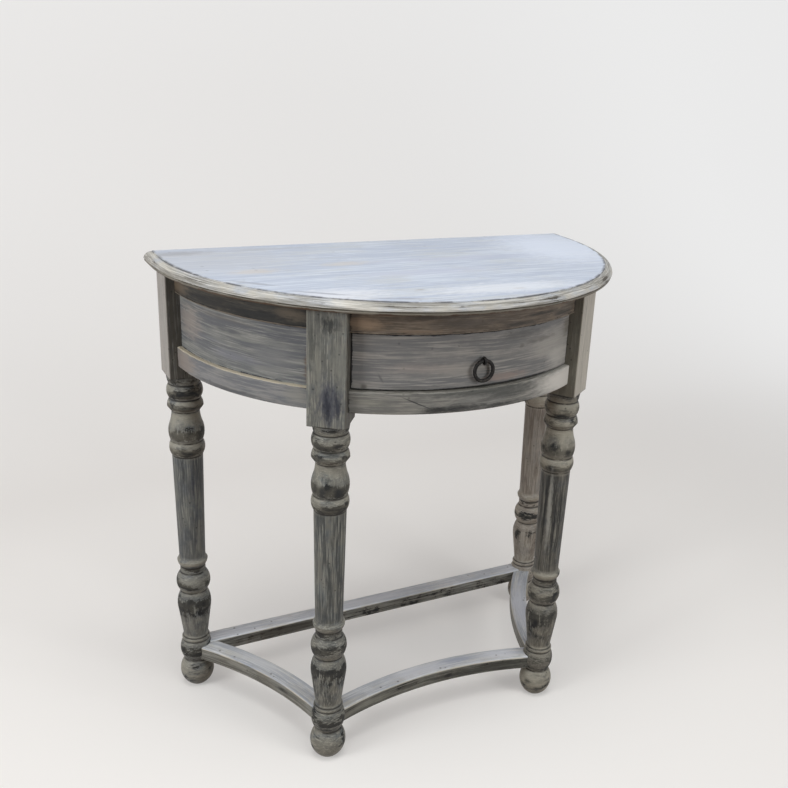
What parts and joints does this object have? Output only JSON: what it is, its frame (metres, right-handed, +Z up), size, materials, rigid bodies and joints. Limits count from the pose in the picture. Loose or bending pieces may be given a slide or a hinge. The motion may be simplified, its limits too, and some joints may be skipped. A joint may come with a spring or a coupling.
{
  "type": "demilune table",
  "caption": "Half-round side table with turned legs, bowed apron, low curved stretchers and a drawer with an iron ring pull, in worn pale paint.",
  "frame": {"origin": "on the floor, under the middle of the table's outer box", "axes": "+Z up; +Y towards the straight back edge, so the drawer opens along -Y; +X to the right as seen from the front"},
  "size_m": [0.758, 0.42, 0.76],
  "materials": {
    "top_paint": "worn pale whitewash",
    "apron_paint": "worn grey paint",
    "leg_paint": "worn grey paint with dark patches",
    "stretcher_paint": "worn pale paint with dark patches",
    "inner_wood": "bare planed wood",
    "iron": "blackened",
    "steel": "dull"
  },
  "bodies": {
    "table": {"table_top": "top_paint", "leg_back_left": "leg_paint", "leg_back_right": "leg_paint", "leg_front_left": "leg_paint", "leg_front_right": "leg_paint", "side_top_rail_left": "apron_paint", "side_top_rail_right": "apron_paint", "side_panel_left": "apron_paint", "side_panel_right": "apron_paint", "side_bottom_rail_left": "apron_paint", "side_bottom_rail_right": "apron_paint", "front_top_rail": "apron_paint", "front_bottom_rail": "apron_paint", "back_rail": "inner_wood", "stretcher_left": "stretcher_paint", "stretcher_right": "stretcher_paint", "stretcher_front": "stretcher_paint", "stretcher_back": "stretcher_paint", "drawer_runner_left": "inner_wood", "drawer_runner_right": "inner_wood", "drawer_guide_left": "inner_wood", "drawer_guide_right": "inner_wood", "drawer_kicker_left": "inner_wood", "drawer_kicker_right": "inner_wood", "drawer_stops": "inner_wood", "top_screws": "steel"},
    "drawer": {"drawer_front": "apron_paint", "drawer_side_left": "inner_wood", "drawer_side_right": "inner_wood", "drawer_back": "inner_wood", "drawer_bottom": "inner_wood", "drawer_pins": "steel", "pull_eye": "iron", "pull_washer": "iron", "pull_nut": "iron"},
    "ring": {"pull_ring": "iron"}
  },
  "joints": [
    {"name": "drawer_slide", "type": "slide", "parent": "table", "child": "drawer", "axis": [0, -1, 0], "range_m": [0, 0.2]},
    {"name": "ring_swing", "type": "hinge", "parent": "drawer", "child": "ring", "pos_m": [0, -0.1818, 0.668], "axis": [-1, 0, 0], "range_deg": [0, 170]}
  ]
}
